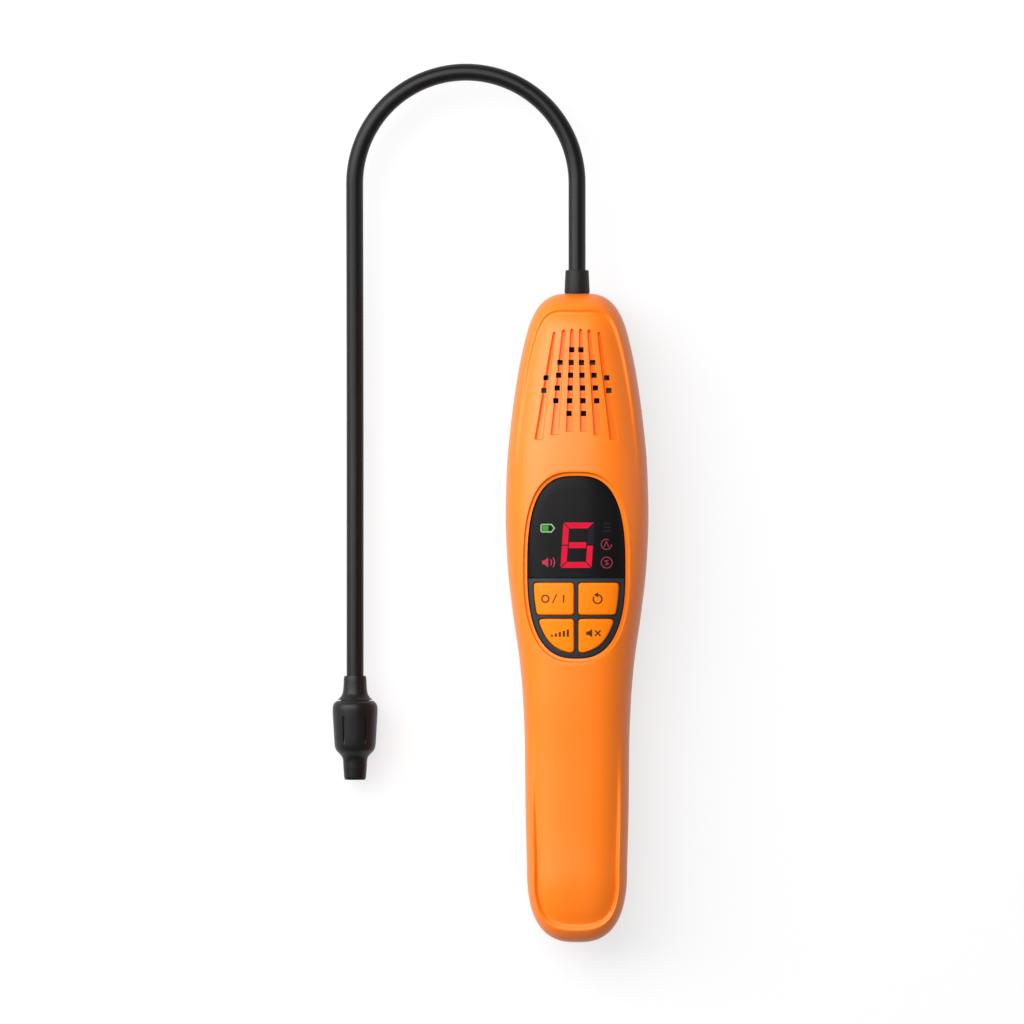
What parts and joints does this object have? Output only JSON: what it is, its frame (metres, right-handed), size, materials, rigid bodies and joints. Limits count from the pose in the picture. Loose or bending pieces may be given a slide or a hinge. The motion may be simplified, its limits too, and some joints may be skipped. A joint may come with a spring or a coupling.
{
  "type": "refrigerant leak detector",
  "caption": "Handheld refrigerant leak detector: two-shell moulded housing with display and keypad, gooseneck and probe with a pull-off cap.",
  "frame": {"origin": "on the flat back that rests on the ground, on the housing's middle plane at mid length", "axes": "+X to the right of the front face, +Y towards the neck end, +Z out of the front face"},
  "size_m": [0.0998, 0.2768, 0.0355],
  "materials": {
    "orange_shell": "moulded ABS, fine matt grain",
    "orange_key": "moulded ABS, satin",
    "dark_window": "tinted acrylic, polished",
    "dark_bezel": "moulded ABS, fine matt grain",
    "black_collar": "moulded rubber, matt",
    "black_sleeve": "extruded PVC sleeve, satin",
    "black_probe": "moulded ABS, satin",
    "board_green": "glass epoxy laminate with solder mask",
    "black_resin": "moulded epoxy, matt",
    "plated_steel": "nickel-plated steel",
    "cell_jacket": "plain printed film sleeve",
    "tray_plastic": "moulded ABS, matt",
    "white_felt": "pressed felt"
  },
  "bodies": {
    "housing": {"front_shell": "orange_shell", "rear_shell": "orange_shell", "display_window": "dark_window", "keypad_bezel": "dark_bezel", "switch_power": "black_resin", "switch_reset": "black_resin", "switch_level": "black_resin", "switch_mute": "black_resin", "main_board": "board_green", "board_screw_1": "plated_steel", "board_screw_2": "plated_steel", "board_screw_3": "plated_steel", "board_screw_4": "plated_steel", "digit_module": "black_resin", "controller_chip": "black_resin", "sensor_connector": "black_resin", "sounder": "black_resin", "housing_screw_1": "plated_steel", "housing_screw_2": "plated_steel", "housing_screw_3": "plated_steel", "housing_screw_4": "plated_steel", "battery_tray": "tray_plastic", "cell_1": "cell_jacket", "cell_2": "cell_jacket", "cell_3": "cell_jacket", "cell_4": "cell_jacket", "contact_plate_handle": "plated_steel", "contact_plate_head": "plated_steel", "neck_collar": "black_collar", "gooseneck": "black_sleeve"},
    "probe": {"probe_head": "black_probe", "sensor_can": "plated_steel", "filter_disc": "white_felt"},
    "cap": {"probe_cap": "black_probe"},
    "power_button": {"key_power": "orange_key"},
    "reset_button": {"key_reset": "orange_key"},
    "level_button": {"key_level": "orange_key"},
    "mute_button": {"key_mute": "orange_key"},
    "door": {"battery_door": "orange_shell"}
  },
  "joints": [
    {"name": "neck_bend", "type": "hinge", "parent": "housing", "child": "probe", "pos_m": [-0.03515, 0.17175, 0.0155], "axis": [0, 0, 1], "range_deg": [-90, 8], "deforming": ["gooseneck"]},
    {"name": "cap_pull", "type": "slide", "parent": "probe", "child": "cap", "axis": [0, -1, 0], "range_m": [0, 0.026]},
    {"name": "power_press", "type": "slide", "parent": "housing", "child": "power_button", "axis": [0, 0, -1], "range_m": [0, 0.0005], "stiffness_N_per_m": 400},
    {"name": "reset_press", "type": "slide", "parent": "housing", "child": "reset_button", "axis": [0, 0, -1], "range_m": [0, 0.0005], "stiffness_N_per_m": 400},
    {"name": "level_press", "type": "slide", "parent": "housing", "child": "level_button", "axis": [0, 0, -1], "range_m": [0, 0.0005], "stiffness_N_per_m": 400},
    {"name": "mute_press", "type": "slide", "parent": "housing", "child": "mute_button", "axis": [0, 0, -1], "range_m": [0, 0.0005], "stiffness_N_per_m": 400},
    {"name": "door_lift", "type": "slide", "parent": "housing", "child": "door", "axis": [0, 0, -1], "range_m": [0, 0.03]}
  ]
}
